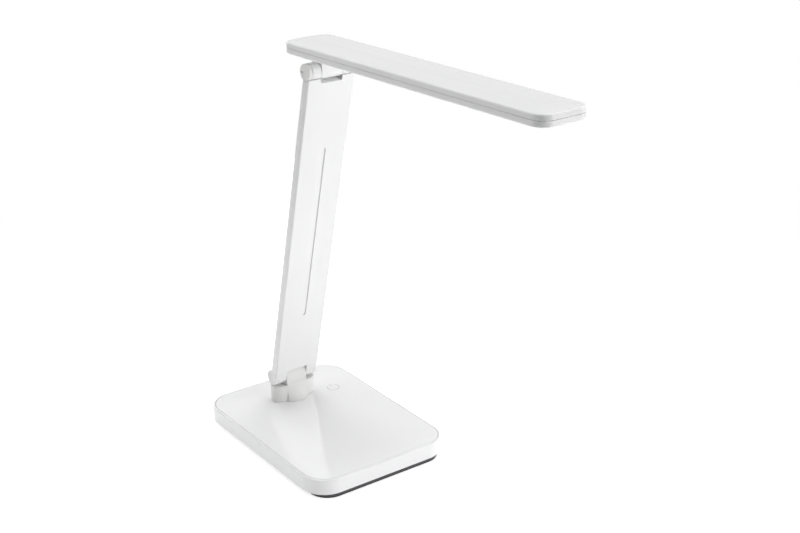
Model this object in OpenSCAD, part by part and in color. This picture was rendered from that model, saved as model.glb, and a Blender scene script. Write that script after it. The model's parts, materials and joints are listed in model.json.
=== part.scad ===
// Folding LED desk lamp: a weighted base with a swivelling hinge block, a flat
// folding arm and a slim light head. The origin is the centre of the underside,
// +Z is up, the head reaches towards -Y and both hinge pins lie along X.

/* [Base] */
// Width of the base, left to right
base_w = 126; // [116:1:150]
// Depth of the base, front to rear
base_d = 170; // [160:1:200]
// Plan radius of the base corners
base_corner = 21; // [16:1:26]
// Thickness of the rubber pad under the base
pad_t = 1.2; // [0.8:0.1:2]
// Thickness of the black bottom plate
plate_t = 2.5; // [2:0.1:4]
// Inset of the black plate along the two long sides
plate_side = 4.6; // [4.2:0.1:6]
// Inset of the black plate at the front and rear
plate_end = 0.9; // [0.6:0.1:2]
// Height of the white side wall
wall_h = 12.6; // [12:0.2:16]
// Thickness of the side wall
wall_t = 2.2; // [1.6:0.1:3]
// Width of the rim strip around the glossy cover
rim_w = 1.7; // [1.2:0.1:2]
// Rounding of the rim's outer edge
rim_edge = 1.2; // [0.6:0.1:1.2]
// Gap between the rim and the cover
cover_gap = 0.3; // [0.2:0.05:0.5]
// Thickness of the cover at its edge
cover_t = 2.1; // [1.6:0.1:2.6]
// Rise of the crowned cover above the rim
crown_h = 1.0; // [0.6:0.1:1.6]
// Width of the crowned border of the cover
crown_w = 22; // [12:1:24]
// Thickness of the deck that carries the cover
deck_t = 1.6; // [1.2:0.1:2]

/* [Inside the base] */
// Width of the steel weight
weight_w = 84; // [60:1:90]
// Depth of the steel weight
weight_d = 96; // [60:1:100]
// Thickness of the steel weight
weight_t = 7; // [4:0.5:7.5]
// Radius of the power socket's nose
socket_r = 3.6; // [3.4:0.1:3.8]
// Bore radius of the power socket
socket_bore = 2.85; // [2.6:0.05:3]
// Radius of the power symbol on the cover
symbol_r = 5.3; // [3.5:0.1:6]
// Distance from the power symbol to the right side of the base
symbol_side = 28.5; // [24:0.5:34]
// Distance from the power symbol to the rear of the base
symbol_rear = 46.5; // [42:0.5:54]
// Distance of the weight's screws from its sides
weight_side = 8; // [7:0.5:10]
// Distance of the control board's middle behind the symbol
board_back = 6; // [5:0.5:7]

/* [Swivel and hinge block] */
// Distance from the swivel axis to the rear of the base
hinge_inset = 37.8; // [32:0.1:44]
// Radius of the round swivel disc
disc_r = 12.6; // [11.5:0.1:15]
// Height of the swivel disc above the cover
disc_h = 2.4; // [1.6:0.1:3]
// Radius of the swivel stem
stem_r = 7.5; // [6.5:0.1:8]
// Running clearance of the swivel stem in its bush
stem_gap = 0.06; // [0.03:0.01:0.1]
// Wall of the swivel bush
bush_t = 1.8; // [1.2:0.1:3]
// Distance of the hinge block's ends inside the arm's sides
block_set = 0.2; // [0:0.1:1.5]
// Depth of the hinge block
block_d = 15.2; // [14:0.2:18]
// Height of the lower pin above the cover
pin_rise = 21.8; // [21.5:0.1:26]
// Width of the knuckle on the hinge block
low_knuckle_w = 18.4; // [14:0.2:20]

/* [Arm] */
// Distance between the two hinge pins
arm_len = 276.1; // [240:1:320]
// Width of the arm
arm_w = 40; // [38:0.5:44]
// Thickness of the arm
arm_t = 7.8; // [7:0.1:9]
// Rounding of the arm's long edges
arm_edge = 1; // [0.6:0.1:2.6]
// Thickness of the arm's skin
arm_skin = 1.6; // [1.2:0.1:2]
// Depth of the front cover, up to the parting line
front_depth = 3; // [2.6:0.1:3.4]
// Forward lean of the arm from upright, in degrees
arm_lean = 13.3; // [0:0.1:30]
// Radius of the hinge barrels
barrel_r = 6.4; // [6.2:0.1:7.5]
// Radius of the hinge caps
cap_r = 6.4; // [6.2:0.1:7.7]
// Width of the hinge caps
cap_w = 2.6; // [1.6:0.1:2.8]
// Radius of the hinge pins
pin_r = 2.5; // [2:0.1:3]
// Running clearance of the hinge pins
pin_gap = 0.05; // [0.02:0.01:0.1]
// Thickness of the friction washers
washer_t = 0.4; // [0.3:0.1:0.6]
// Distance from a pin to the edge of its notch
notch_reach = 7.5; // [7.2:0.1:9]
// Distance of the arm's screws from its sides
screw_side = 7; // [6.5:0.5:8]
// Distance from the lower pin to the start of the groove
groove_start = 61; // [40:1:90]
// Length of the groove in the arm's front
groove_len = 153; // [100:1:160]
// Width of the groove
groove_w = 4.2; // [3:0.1:6]
// Depth of the groove
groove_depth = 0.8; // [0.4:0.1:1]

/* [Head] */
// Width of the head
head_w = 40; // [38:0.5:46]
// Reach of the head in front of its pin
head_front = 253.5; // [220:0.5:262]
// Reach of the head behind its pin
head_rear = 29.5; // [26:0.5:40]
// Plan radius of the head corners
head_corner = 10; // [6:0.5:14]
// Distance from the upper pin to the head's underside
head_gap = 10; // [8.5:0.1:10.2]
// Height of the head's side
head_t = 8.6; // [8.4:0.1:8.8]
// Height of the lower frame, up to the parting line
frame_h = 4.4; // [3:0.1:4.4]
// Rise of the crowned top of the head
head_crown = 1.2; // [0.6:0.1:1.3]
// Rounding of the head's edges
head_edge = 1.4; // [0.8:0.1:1.8]
// Thickness of the head's skin
head_skin = 1.6; // [1.2:0.1:1.8]
// Tilt of the head from level, in degrees, negative with its tip up
head_tilt = -2.2; // [-10:0.1:10]
// Length of the light window
window_len = 204; // [150:1:208]
// Width of the light window
window_w = 29; // [20:0.5:30]
// Distance from the head's tip to the light window
window_inset = 9; // [7:0.5:12]
// Thickness of the diffuser
diffuser_t = 1.4; // [1:0.1:1.8]
// Width of the knuckle on the head bracket
top_knuckle_w = 18; // [14:0.2:18.4]

/* [Hidden] */
$fn = 64;
// Levels of the base, from the table up
plate_z = pad_t;
wall_z = pad_t + plate_t;
rim_z = wall_z + wall_h;
top_z = rim_z + crown_h;
deck_top = rim_z - cover_t;
deck_z = deck_top - deck_t;
pad_step = 0.6; // how far the pad stays inside the plate's edge
floor_t = 1; // lip inside the foot of the wall, closed by the plate
floor_lap = 2.4; // overlap of the plate and the lip
cover_inset = rim_w + cover_gap;
cover_edge = 0.7; // rounding of the cover's edge
lift = 0.1; // air under a part that swivels on the base
layer_t = 0.05; // thickness of a layer in a convex body
cut = 0.5; // how far a cutter runs past the face it opens
// Screws of the base
screw_r = 1.5;
screw_head_r = 2.8;
screw_head_t = 1.3;
boss_r = 3.6;
boss_inset = 13;
boss_x = base_w / 2 - boss_inset;
boss_y = base_d / 2 - boss_inset;
boss_depth = 7;
thread_end = 1; // part of a screw hole that the screw doesn't reach
// Power symbol
symbol_x = base_w / 2 - symbol_side;
symbol_y = base_d / 2 - symbol_rear;
symbol_line = 0.7;
symbol_open = symbol_r * 1.2; // opening in the ring, with the bar in its middle
symbol_sink = 0.3;
// Control board and its fixings
board_t = 1.6;
board_w = 34;
board_d = 30;
board_x = symbol_x + 1;
board_y = symbol_y + board_back;
board_z = wall_z + 3;
board_hole_in = 3.5;
board_hole_x = board_w / 2 - board_hole_in;
board_hole_y = board_d / 2 - board_hole_in;
board_boss_r = 2.4;
board_screw_r = 1.1;
board_head_r = 1.9;
board_head_t = 1;
chip = [6, 5, 1.6];
terminal = [8, 6, 2.2];
resistor = [1.6, 3, 1];
touch_r = symbol_r + 1;
touch_t = 0.8;
touch_stalk_r = 1.2;
// Power socket
socket_z = (wall_z + floor_t + deck_z) / 2;
socket_body_w = 9;
socket_body_d = 11;
socket_body_h = deck_z - wall_z - floor_t - 0.6;
socket_pin_r = 0.9;
socket_depth = 9.5;
// Weight, kept in front of the board and the swivel
weight_air = 4;
weight_y = board_y - board_d / 2 - weight_air - weight_d / 2;
weight_corner = 6;
weight_hole_x = weight_w / 2 - weight_side;
// Swivel
hinge_y = base_d / 2 - hinge_inset;
bush_r = stem_r + stem_gap + bush_t;
retainer_r = bush_r + 1.6;
retainer_t = 1.4;
wire_way_r = 2.2;
swivel_screw_x = (stem_r + wire_way_r) / 2;
swivel_screw_r = 1.1;
swivel_head_r = 2;
swivel_head_t = 1.2;
swivel_hold = 6; // length of the swivel screws in the hinge block
disc_z = top_z + lift;
disc_top = disc_z + disc_h;
stem_z = deck_z - lift;
retainer_z = stem_z - retainer_t;
// Hinges
hinge_z = top_z + pin_rise;
shoulder_air = 1.4; // air between the caps and the block's shoulders
shoulder_z = hinge_z - cap_r - shoulder_air;
block_w = arm_w - 2 * block_set;
block_power = 2.5; // roundness of the block's plan: 2 is an ellipse, more is squarer
side_air = 0.05; // running gap at each side of a knuckle
washer_r = 5;
cap_set = 0.4; // how far the caps stay inside the arm's sides
low_notch_w = low_knuckle_w + 2 * (washer_t + side_air);
top_notch_w = top_knuckle_w + 2 * (washer_t + side_air);
cap_out = arm_w / 2 - cap_set;
cap_in = cap_out - cap_w;
cap_dish = 0.35;
cap_rim = 1.2;
ear_out = cap_in - 0.2;
nut_r = 4;
nut_t = 2;
plug_t = 1;
pin_half = ear_out - plug_t;
// Arm, in a frame with its origin on the lower pin and +Z along the arm
arm_front = -barrel_r;
arm_rear = arm_front + arm_t;
parting_y = arm_front + front_depth;
seam = 0.15;
barrel_air = 0.3;
cover_low = 2; // how far above the lower pin the front cover starts
cover_drop = 3.8; // how far below the upper pin the front cover ends
cover_top = arm_len - cover_drop;
rib_t = 3;
tray_low = notch_reach + rib_t;
tray_top = arm_len - notch_reach - rib_t;
arm_screw_r = 1.2;
arm_head_r = 2.2;
arm_head_t = arm_skin / 2;
arm_head_air = 0.15;
arm_boss_r = 2.4;
arm_boss_y = arm_front + arm_skin;
arm_hole_y = arm_boss_y + 0.6;
arm_screw_in = 12;
arm_screw_z = [tray_low + arm_screw_in, tray_top - arm_screw_in];
arm_screw_x = arm_w / 2 - screw_side;
rail_air = 0.6;
rail_w = 2 * (arm_screw_x - arm_boss_r - rail_air);
rail_t = 1.2;
rail_front = parting_y - 1;
wire_r = 0.9;
wire_x = 1.2;
// Head, in a frame with its origin on the upper pin, +Z up and -Y towards the tip
frame_top = head_gap + frame_h;
head_top = head_gap + head_t;
head_ridge = 4; // half the width of the flat along the top
lip = 1.6; // width of the ledge that holds the diffuser
lip_t = 0.9;
window_y = -head_front + window_inset + window_len / 2;
diffuser_z = head_gap + lip_t;
led_z = diffuser_z + diffuser_t + 1.2;
led_h = 0.8;
led_side = 2.8;
led_count = 16;
led_board_t = 1.2;
led_board_w = window_w - 3;
led_board_len = window_len - 4;
led_board_z = led_z + led_h;
led_hole_in = 5;
led_head_r = 2;
led_head_t = 0.7;
spreader_t = 0.8;
spreader_in = 1;
head_wire_end = 8;
flange_w = 32;
flange_reach = 20;
flange_t = 2;
flange_z = head_gap + head_skin;
flange_hole_x = flange_w / 2 - 3.5;
flange_hole_y = flange_reach - 4;
flange_head_t = 1.2;
screw_skin = 0.5; // skin left under a screw from inside the head
riser_air = 0.1;

white = [0.93, 0.93, 0.93];
gloss_white = [0.97, 0.97, 0.97];
warm_white = [0.88, 0.88, 0.86];
black = [0.07, 0.07, 0.07];
steel = [0.6, 0.61, 0.63];

// Plan shapes and placing

// Rounded rectangle in plan, centred, as straight sides and true arcs
module plan(w, d, r) {
    square([w - 2 * r, d], center = true);
    square([w, d - 2 * r], center = true);
    for (x = [-1, 1], y = [-1, 1])
        translate([x * (w / 2 - r), y * (d / 2 - r)]) circle(r);
}

// Upright plate with rounded corners between two levels
module slab(w, d, r, z0, z1) {
    translate([0, 0, z0]) linear_extrude(z1 - z0) plan(w, d, r);
}

// Outline of the base, drawn in by an inset
module base_slab(inset, z0, z1) {
    slab(base_w - 2 * inset, base_d - 2 * inset, base_corner - inset, z0, z1);
}

// Outline of the black plate, drawn in by an inset
module plate_slab(inset, z0, z1) {
    slab(base_w - 2 * (plate_side + inset), base_d - 2 * (plate_end + inset),
        base_corner - plate_side - inset, z0, z1);
}

// Thin rounded layers, each [width, depth, corner radius, level], joined into one convex body
module layered(layers) {
    hull()
        for (l = layers, x = [-1, 1], y = [-1, 1])
            translate([x * (l[0] / 2 - l[2]), y * (l[1] / 2 - l[2]), l[3] - layer_t])
                cylinder(h = layer_t, r = l[2], $fn = 40);
}

// Layer of the base outline drawn in by an inset, with a corner of at least 4
function base_layer(inset, z) =
    [base_w - 2 * inset, base_d - 2 * inset, max(base_corner - 0.8 * inset, 4), z];

// Cylinder along X between two places
module rod_x(r, x0, x1) {
    translate([x0, 0, 0]) rotate([0, 90, 0]) cylinder(h = x1 - x0, r = r);
}

// Upright cylinder between two levels at a place in plan
module post(x, y, r, z0, z1) {
    translate([x, y, z0]) cylinder(h = z1 - z0, r = r);
}

// Box between two corners
module block(low, high) {
    translate(low) cube(high - low);
}

module at_swivel() { translate([0, hinge_y, 0]) children(); }
module at_arm() { translate([0, hinge_y, hinge_z]) rotate([arm_lean, 0, 0]) children(); }
module at_top_pin() { translate([0, 0, arm_len]) children(); }
module at_head() { at_arm() at_top_pin() rotate([head_tilt - arm_lean, 0, 0]) children(); }

// Base

module rubber_pad() color(black) plate_slab(pad_step, 0, pad_t);

module base_plate() color(black) difference() {
    plate_slab(0, plate_z, wall_z);
    for (x = [-1, 1], y = [-1, 1]) {
        post(x * boss_x, y * boss_y, screw_r, plate_z - cut, wall_z + cut);
        post(x * boss_x, y * boss_y, screw_head_r, plate_z - cut, plate_z + screw_head_t);
    }
    for (x = [-1, 1]) {
        post(x * weight_hole_x, weight_y, screw_r, plate_z - cut, wall_z + cut);
        post(x * weight_hole_x, weight_y, screw_head_r, plate_z - cut, plate_z + screw_head_t);
    }
}

module base_housing() color(white) difference() {
    union() {
        difference() {
            union() {
                base_slab(0, wall_z, rim_z - rim_edge);
                layered([base_layer(0, rim_z - rim_edge + layer_t),
                    base_layer(rim_edge * 0.3, rim_z - rim_edge * 0.29), base_layer(rim_edge, rim_z)]);
            }
            base_slab(rim_w, deck_top, rim_z + cut);
            base_slab(wall_t, wall_z + floor_t, deck_z);
            plate_slab(floor_lap, wall_z - cut, wall_z + floor_t + cut);
        }
        for (x = [-1, 1], y = [-1, 1]) post(x * boss_x, y * boss_y, boss_r, wall_z, deck_top);
        for (x = [-1, 1], y = [-1, 1])
            post(board_x + x * board_hole_x, board_y + y * board_hole_y, board_boss_r,
                board_z + board_t, deck_top);
    }
    for (x = [-1, 1], y = [-1, 1])
        post(x * boss_x, y * boss_y, screw_r, wall_z - cut, wall_z + boss_depth);
    for (x = [-1, 1], y = [-1, 1])
        post(board_x + x * board_hole_x, board_y + y * board_hole_y, board_screw_r, board_z, deck_z);
    at_swivel() post(0, 0, bush_r, deck_z - cut, deck_top + cut);
    translate([0, base_d / 2 - wall_t - cut, socket_z])
        rotate([-90, 0, 0]) cylinder(h = wall_t + 2 * cut, r = socket_r);
}

// Crowned glossy cover, lying on the deck inside the rim
module base_cover() color(gloss_white) difference() {
    layered(concat(
        [base_layer(cover_inset, deck_top + layer_t), base_layer(cover_inset, rim_z - cover_edge)],
        [for (a = [30:30:60])
            base_layer(cover_inset + cover_edge * (1 - cos(a)), rim_z - cover_edge * (1 - sin(a)))],
        [for (t = [0:0.2:1])
            base_layer(cover_inset + cover_edge + crown_w * t, rim_z + crown_h * (1 - pow(1 - t, 2)))]
    ));
    at_swivel() post(0, 0, bush_r, deck_top - cut, top_z + cut);
    symbol_shape(top_z + cut);
}

// Ring open at the back with a short bar in the opening, sunk in the cover
module symbol_shape(z1) {
    translate([symbol_x, symbol_y, top_z - symbol_sink]) linear_extrude(z1 - top_z + symbol_sink) {
        difference() {
            circle(symbol_r);
            circle(symbol_r - symbol_line);
            translate([0, symbol_r]) square([symbol_open, symbol_r], center = true);
        }
        translate([-symbol_line / 2, symbol_r * 0.45]) square([symbol_line, symbol_r * 0.75]);
    }
}

module power_symbol() color([0.72, 0.72, 0.72]) symbol_shape(top_z);

module steel_weight() color(steel) difference() {
    translate([0, weight_y, 0]) slab(weight_w, weight_d, weight_corner, wall_z, wall_z + weight_t);
    for (x = [-1, 1]) post(x * weight_hole_x, weight_y, screw_r, wall_z - cut, wall_z + weight_t + cut);
}

module weight_screws() color(steel) for (x = [-1, 1]) {
    post(x * weight_hole_x, weight_y, screw_head_r, plate_z, plate_z + screw_head_t);
    post(x * weight_hole_x, weight_y, screw_r, plate_z + screw_head_t, wall_z + weight_t - thread_end);
}

module base_screws() color(steel) for (x = [-1, 1], y = [-1, 1]) {
    post(x * boss_x, y * boss_y, screw_head_r, plate_z, plate_z + screw_head_t);
    post(x * boss_x, y * boss_y, screw_r, plate_z + screw_head_t, wall_z + boss_depth - thread_end);
}

module control_board() color([0.1, 0.4, 0.2]) difference() {
    translate([board_x, board_y, 0]) slab(board_w, board_d, 1.5, board_z, board_z + board_t);
    for (x = [-1, 1], y = [-1, 1])
        post(board_x + x * board_hole_x, board_y + y * board_hole_y, board_screw_r,
            board_z - cut, board_z + board_t + cut);
}

module board_parts() color(black) {
    translate([board_x, board_y, board_z + board_t]) {
        translate([-board_w / 4, -board_d / 3, 0]) cube(chip);
        translate([2, board_d / 5, 0]) cube(terminal);
        for (i = [1:4]) translate([2 * resistor[0] * (i - 5), board_d / 6, 0]) cube(resistor);
    }
}

module board_screws() color(steel) for (x = [-1, 1], y = [-1, 1]) {
    hole_x = board_x + x * board_hole_x;
    hole_y = board_y + y * board_hole_y;
    post(hole_x, hole_y, board_head_r, board_z - board_head_t, board_z);
    post(hole_x, hole_y, board_screw_r, board_z, deck_z - thread_end);
}

// Touch plate pressed up against the deck by its stalk on the board
module touch_pad() color([0.72, 0.45, 0.2]) {
    post(symbol_x, symbol_y, touch_r, deck_z - touch_t, deck_z);
    post(symbol_x, symbol_y, touch_stalk_r, board_z + board_t, deck_z - touch_t);
}

module power_socket() color(black) {
    difference() {
        union() {
            block([-socket_body_w / 2, base_d / 2 - wall_t - socket_body_d, socket_z - socket_body_h / 2],
                [socket_body_w / 2, base_d / 2 - wall_t, socket_z + socket_body_h / 2]);
            translate([0, base_d / 2 - wall_t, socket_z])
                rotate([-90, 0, 0]) cylinder(h = wall_t, r = socket_r);
        }
        translate([0, base_d / 2 - socket_depth, socket_z])
            rotate([-90, 0, 0]) cylinder(h = socket_depth + cut, r = socket_bore);
    }
    translate([0, base_d / 2 - socket_depth, socket_z])
        rotate([-90, 0, 0]) cylinder(h = socket_depth - 1, r = socket_pin_r);
}

// Swivel and hinge block

module swivel_bush() color(steel) at_swivel() difference() {
    post(0, 0, bush_r, deck_z, top_z);
    post(0, 0, stem_r + stem_gap, deck_z - cut, top_z + cut);
}

module swivel_disc() color(warm_white) at_swivel() difference() {
    union() {
        post(0, 0, disc_r, disc_z, disc_top);
        post(0, 0, stem_r, stem_z, disc_z + cut);
    }
    swivel_holes(stem_z - cut, disc_top + cut);
}

module swivel_holes(z0, z1) {
    post(0, 0, wire_way_r, z0, z1);
    for (x = [-1, 1]) post(x * swivel_screw_x, 0, swivel_screw_r, z0, z1);
}

module swivel_retainer() color(steel) at_swivel() difference() {
    post(0, 0, retainer_r, retainer_z, stem_z);
    swivel_holes(retainer_z - cut, stem_z + cut);
}

module swivel_screws() color(steel) at_swivel() for (x = [-1, 1]) {
    post(x * swivel_screw_x, 0, swivel_head_r, retainer_z - swivel_head_t, retainer_z);
    post(x * swivel_screw_x, 0, swivel_screw_r, retainer_z, disc_top + swivel_hold);
}

// Plan of the block: a superellipse, bowed at the front and rear with rounded ends
function bow(a, half, c) = half * sign(c) * pow(abs(c), 2 / block_power);
module block_plan() polygon([
    for (a = [0:5:355]) [bow(a, block_w / 2, cos(a)), bow(a, block_d / 2, sin(a))]
]);

// Side view of the knuckle: upright faces below the pin and a round top
module knuckle_body(w, r) {
    rod_x(r, -w / 2, w / 2);
    block([-w / 2, -r, -hinge_z + shoulder_z - 1], [w / 2, r, 0]);
}

module hinge_block() color(warm_white) at_swivel() difference() {
    union() {
        translate([0, 0, disc_z]) linear_extrude(shoulder_z - disc_z) block_plan();
        translate([0, 0, hinge_z]) knuckle_body(low_knuckle_w, barrel_r);
    }
    post(0, 0, disc_r, disc_z - cut, disc_top);
    translate([0, 0, hinge_z]) rod_x(pin_r + pin_gap, -low_knuckle_w, low_knuckle_w);
    for (x = [-1, 1]) post(x * swivel_screw_x, 0, swivel_screw_r, disc_top - cut, disc_top + swivel_hold);
    post(0, 0, wire_way_r, disc_top - cut, hinge_z - pin_r - 2);
}

// Arm

// Cross-section of the arm, with rounded long edges
module arm_section() translate([0, (arm_front + arm_rear) / 2]) plan(arm_w, arm_t, arm_edge);

module arm_bar(z0, z1) translate([0, 0, z0]) linear_extrude(z1 - z0) arm_section();

// Room for the round end caps, on both sides of a pin
module cap_room() for (s = [-1, 1])
    rod_x(cap_r + seam, s > 0 ? ear_out : -arm_w / 2 - cut, s > 0 ? arm_w / 2 + cut : -ear_out);

module notch(w, z0, z1) block([-w / 2, arm_front - cut, z0], [w / 2, -arm_front + cut, z1]);

// Long shallow groove with round ends
module groove() translate([0, arm_front + groove_depth, groove_start + groove_len / 2])
    rotate([90, 0, 0]) linear_extrude(groove_depth + cut) plan(groove_w, groove_len, groove_w / 2 - 0.01);

// Holes or posts at the four screws of the arm, between two places across its thickness
module arm_screw_posts(r, y0, y1) for (z = arm_screw_z, s = [-1, 1])
    translate([s * arm_screw_x, y0, z]) rotate([-90, 0, 0]) cylinder(h = y1 - y0, r = r);

module arm_front_cover() color(white) at_arm() difference() {
    union() {
        front_skin();
        arm_screw_posts(arm_boss_r, arm_boss_y - layer_t, arm_rear - arm_skin);
    }
    arm_screw_posts(arm_screw_r, arm_hole_y, arm_rear);
}

module front_skin() difference() {
    intersection() {
        arm_bar(cover_low, cover_top);
        block([-arm_w, arm_front - cut, 0], [arm_w, parting_y, arm_len]);
    }
    groove();
    notch(low_notch_w, -cut, notch_reach);
    notch(top_notch_w, arm_len - notch_reach, arm_len);
    block([-arm_w / 2 + arm_skin, arm_front + arm_skin, tray_low],
        [arm_w / 2 - arm_skin, parting_y + cut, tray_top]);
    // The ears of the rear shell fill the space behind the skin at both ends
    for (s = [-1, 1]) mirror([s < 0 ? 1 : 0, 0, 0]) {
        block([0, arm_front + arm_skin, 0], [ear_out + seam, parting_y + cut, notch_reach]);
        block([0, arm_front + arm_skin, arm_len - notch_reach], [ear_out + seam, parting_y + cut, arm_len]);
    }
    cap_room();
    at_top_pin() cap_room();
    at_top_pin() rod_x(barrel_r + barrel_air, -arm_w, arm_w);
}

// Ear with its round barrel, from the notch out to the cap
module ear(w) difference() {
    rod_x(barrel_r, w / 2, ear_out);
    rod_x(pin_r, 0, arm_w);
    rod_x(nut_r, pin_half - nut_t, arm_w);
}

module arm_rear_shell() color(white) at_arm() {
    difference() {
        union() {
            intersection() {
                arm_bar(0, arm_len);
                block([-arm_w, parting_y, 0], [arm_w, arm_rear + cut, arm_len]);
            }
            for (s = [0, 1]) mirror([s, 0, 0]) {
                block([low_notch_w / 2, arm_front + arm_skin, 0], [ear_out, parting_y + cut, notch_reach]);
                block([top_notch_w / 2, arm_front + arm_skin, arm_len - notch_reach],
                    [ear_out, parting_y + cut, arm_len]);
            }
        }
        block([-arm_w / 2 + arm_skin, parting_y - cut, tray_low],
            [arm_w / 2 - arm_skin, arm_rear - arm_skin, tray_top]);
        notch(low_notch_w, -cut, notch_reach);
        notch(top_notch_w, arm_len - notch_reach, arm_len + cut);
        arm_screw_posts(arm_screw_r, arm_rear - arm_skin - cut, arm_rear);
        arm_screw_posts(arm_head_r + arm_head_air, arm_rear - arm_head_t - arm_head_air, arm_rear + cut);
        rod_x(barrel_r, -arm_w, arm_w);
        at_top_pin() rod_x(barrel_r, -arm_w, arm_w);
        cap_room();
        at_top_pin() cap_room();
    }
    for (s = [0, 1]) mirror([s, 0, 0]) {
        difference() {
            ear(low_notch_w);
            block([0, arm_front - cut, cover_low - seam], [arm_w, arm_front + arm_skin, barrel_r]);
        }
        at_top_pin() ear(top_notch_w);
    }
}

// Steel rail that stiffens the arm, folded up along both sides
module arm_rail() color(steel) at_arm() difference() {
    block([-rail_w / 2, rail_front, tray_low], [rail_w / 2, arm_rear - arm_skin, tray_top]);
    block([-rail_w / 2 + rail_t, rail_front - cut, tray_low - cut],
        [rail_w / 2 - rail_t, arm_rear - arm_skin - rail_t, tray_top + cut]);
}

module arm_wire() color([0.85, 0.85, 0.85]) at_arm()
    for (x = [-wire_x, wire_x]) translate([x, arm_rear - arm_skin - rail_t - wire_r, tray_low + 1])
        cylinder(h = tray_top - tray_low - 2, r = wire_r, $fn = 24);

module arm_screws() color(steel) at_arm() {
    arm_screw_posts(arm_head_r, arm_rear - arm_head_t - arm_head_air, arm_rear - arm_head_air);
    arm_screw_posts(arm_screw_r, arm_hole_y + thread_end, arm_rear - arm_head_t - arm_head_air);
}

// Pin with a nut sunk in each ear
module hinge_pin() {
    rod_x(pin_r, -pin_half, pin_half);
    rod_x(nut_r, pin_half - nut_t, pin_half);
    rod_x(nut_r, -pin_half, -pin_half + nut_t);
}

module washers(w) for (s = [0, 1]) mirror([s, 0, 0]) difference() {
    rod_x(washer_r, w / 2 + side_air, w / 2 + side_air + washer_t);
    rod_x(pin_r, 0, w);
}

// Round end cap with a plug in the ear and a slightly dished face
module hinge_cap() difference() {
    union() {
        rod_x(cap_r, cap_in, cap_out);
        rod_x(nut_r, pin_half, cap_in + cut);
    }
    translate([cap_out - cap_dish, 0, 0]) rotate([0, 90, 0])
        cylinder(h = 2 * cap_dish, r1 = cap_r - cap_rim, r2 = cap_r + cap_rim);
}

module lower_pin() color(steel) at_arm() hinge_pin();
module upper_pin() color(steel) at_arm() at_top_pin() hinge_pin();
module lower_washers() color(steel) at_arm() washers(low_knuckle_w);
module upper_washers() color(steel) at_arm() at_top_pin() washers(top_knuckle_w);
module lower_cap_right() color(warm_white) at_arm() hinge_cap();
module lower_cap_left() color(warm_white) at_arm() mirror([1, 0, 0]) hinge_cap();
module upper_cap_right() color(warm_white) at_arm() at_top_pin() hinge_cap();
module upper_cap_left() color(warm_white) at_arm() at_top_pin() mirror([1, 0, 0]) hinge_cap();

// Head

head_len = head_front + head_rear;
head_mid = (head_rear - head_front) / 2;

// Outline of the head between two levels, drawn in by an inset
module head_slab(inset, z0, z1) translate([0, head_mid, 0])
    slab(head_w - 2 * inset, head_len - 2 * inset, head_corner - inset, z0, z1);

// Layers of the head's outline, each [inset, level]
module head_layers(steps) translate([0, head_mid, 0])
    layered([for (s = steps) [head_w - 2 * s[0], head_len - 2 * s[0], max(head_corner - s[0], 1), s[1]]]);

// Box around the light window, wider by a margin
module window_box(margin, z0, z1) translate([0, window_y, 0])
    slab(window_w + 2 * margin, window_len + 2 * margin, 2 + margin, z0, z1);

module head_bracket() color(white) at_head() difference() {
    union() {
        rod_x(barrel_r, -top_knuckle_w / 2, top_knuckle_w / 2);
        block([-top_knuckle_w / 2, -barrel_r, 0], [top_knuckle_w / 2, barrel_r, flange_z + 0.1]);
        block([-flange_w / 2, -flange_reach, flange_z], [flange_w / 2, flange_reach, flange_z + flange_t]);
    }
    rod_x(pin_r + pin_gap, -top_knuckle_w, top_knuckle_w);
    post(0, 0, wire_way_r, pin_r + 2, flange_z + flange_t + cut);
    for (x = [-1, 1], y = [-1, 1])
        post(x * flange_hole_x, y * flange_hole_y, screw_r, flange_z - cut, flange_z + flange_t + cut);
}

module bracket_screws() color(steel) at_head() for (x = [-1, 1], y = [-1, 1]) {
    post(x * flange_hole_x, y * flange_hole_y, screw_r, head_gap + screw_skin, flange_z + flange_t);
    post(x * flange_hole_x, y * flange_hole_y, screw_head_r, flange_z + flange_t,
        flange_z + flange_t + flange_head_t);
}

module head_lower_frame() color(white) at_head() difference() {
    head_layers([[head_edge, head_gap + layer_t], [head_edge * 0.29, head_gap + head_edge * 0.29],
        [0, head_gap + head_edge], [0, frame_top]]);
    difference() {
        head_slab(head_skin, flange_z, frame_top + cut);
        window_box(lip + head_skin, flange_z - cut, frame_top);
    }
    window_box(0, head_gap - cut, diffuser_z + cut);
    window_box(lip, diffuser_z, frame_top + cut);
    block([-top_knuckle_w / 2 - riser_air, -barrel_r - riser_air, head_gap - cut],
        [top_knuckle_w / 2 + riser_air, barrel_r + riser_air, flange_z + cut]);
    for (x = [-1, 1], y = [-1, 1])
        post(x * flange_hole_x, y * flange_hole_y, screw_r, head_gap + screw_skin, flange_z + cut);
}

crown_steps = [
    for (t = [0:0.2:1])
        [head_edge + (head_w / 2 - head_ridge - head_edge) * t, head_top + head_crown * (1 - pow(1 - t, 2))]
];

module head_top_shell() color(gloss_white) at_head() difference() {
    head_layers(concat([[0, frame_top + layer_t], [0, head_top - head_edge],
        [head_edge * 0.29, head_top - head_edge * 0.29]], crown_steps));
    head_slab(head_skin, frame_top - cut, head_top - head_edge);
    head_slab(head_skin + head_edge, head_top - head_edge - cut, head_top - head_skin + 0.2);
}

module diffuser() color([0.98, 0.98, 0.94]) at_head() {
    window_box(-0.1, head_gap + 0.2, diffuser_z + 0.1);
    window_box(lip - 0.1, diffuser_z, diffuser_z + diffuser_t);
}

module reflector() color([0.95, 0.95, 0.95]) at_head() difference() {
    window_box(lip - 0.2, diffuser_z + diffuser_t, led_board_z);
    window_box(-1.2, diffuser_z + diffuser_t - cut, led_board_z + cut);
}

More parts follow.
